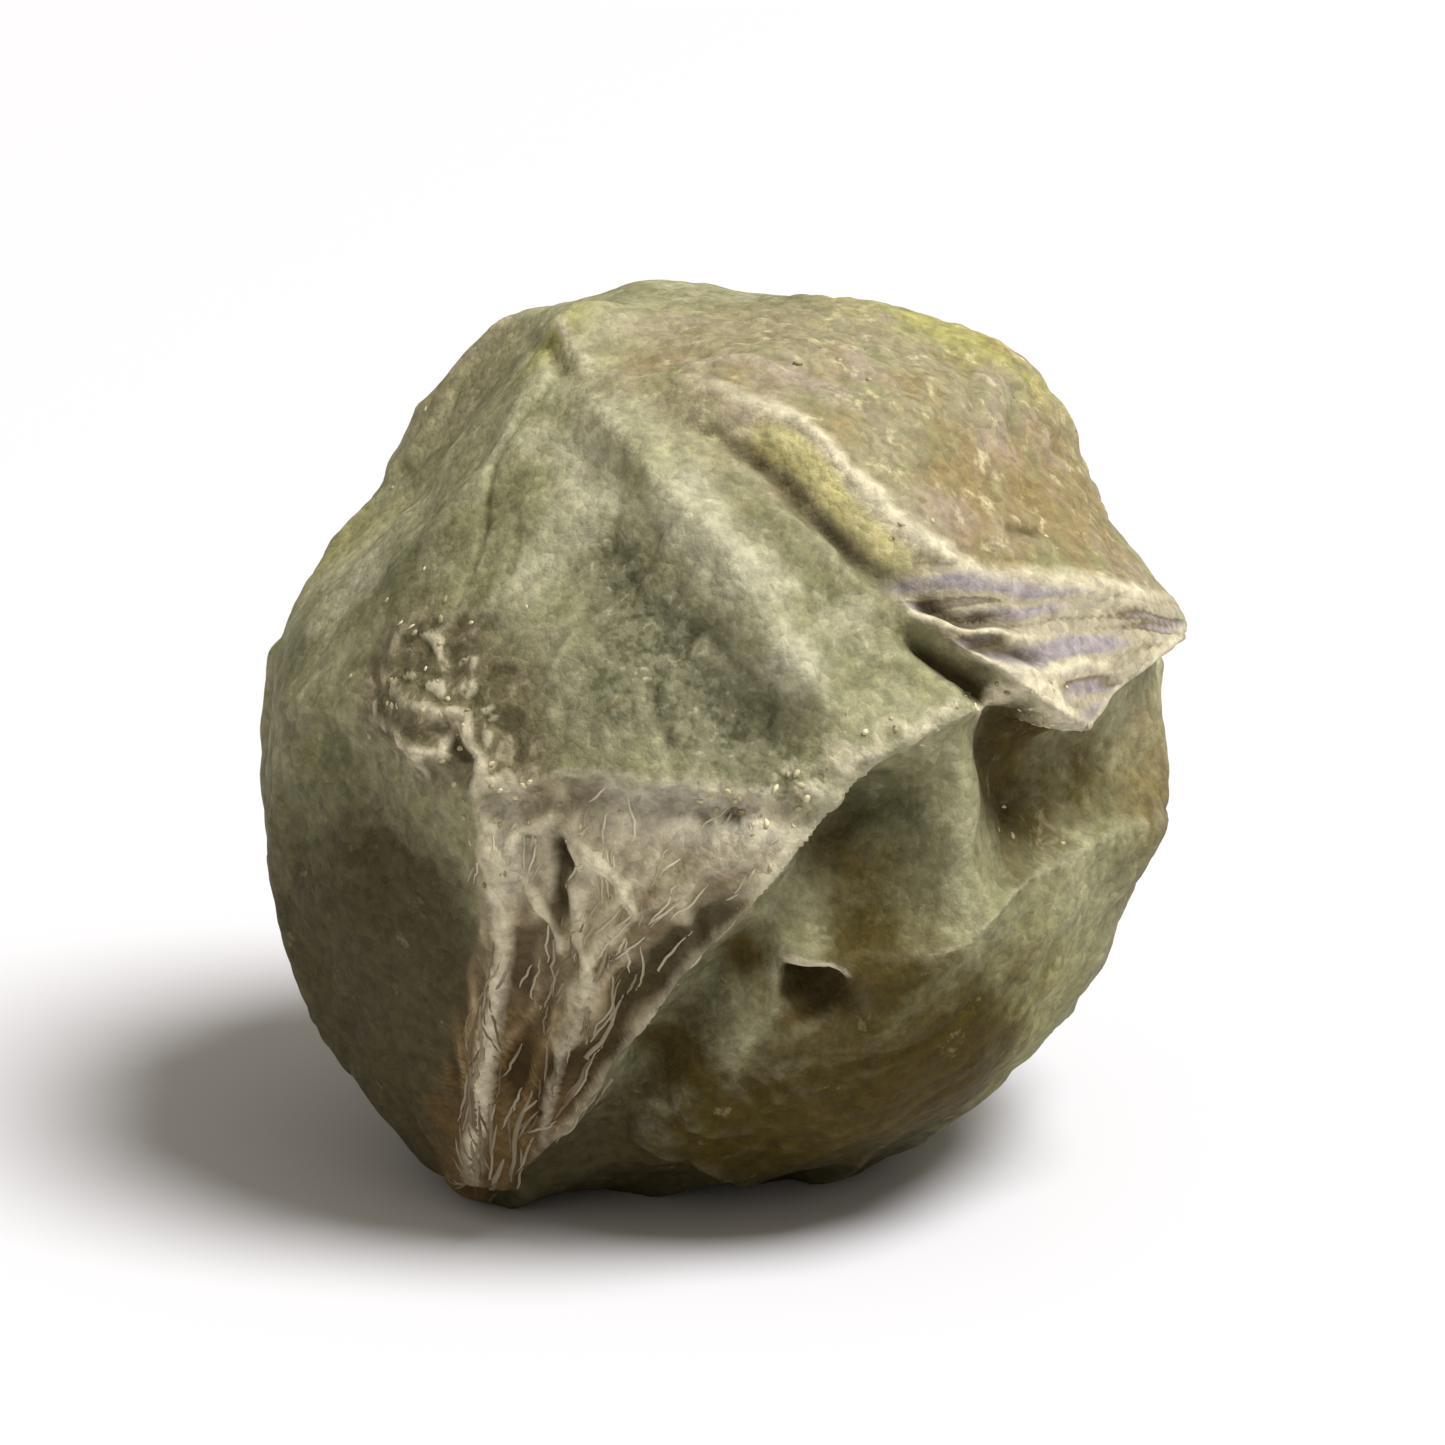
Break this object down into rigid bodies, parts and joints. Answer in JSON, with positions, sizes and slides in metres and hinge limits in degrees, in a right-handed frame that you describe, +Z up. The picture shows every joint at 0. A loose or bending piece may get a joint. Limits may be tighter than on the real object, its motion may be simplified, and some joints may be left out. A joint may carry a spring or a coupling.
{
  "type": "green peppercorn",
  "caption": "Dried green peppercorn, a small round berry with a folded skin, a raised papery flap, a pointed stem end and a flat spot to rest on; ground or cracked as a spice.",
  "frame": {"origin": "middle of the footprint on the surface that the berry rests on", "axes": "+Z up from the rest spot; -Y toward the viewer of the picture, with the fold across the top at the right and the stem end low at the left; +X to the right"},
  "size_m": [0.0052, 0.0052, 0.0049],
  "materials": {
    "dried_skin": "matte"
  },
  "bodies": {
    "root": {"peppercorn": "dried_skin"}
  },
  "joints": []
}
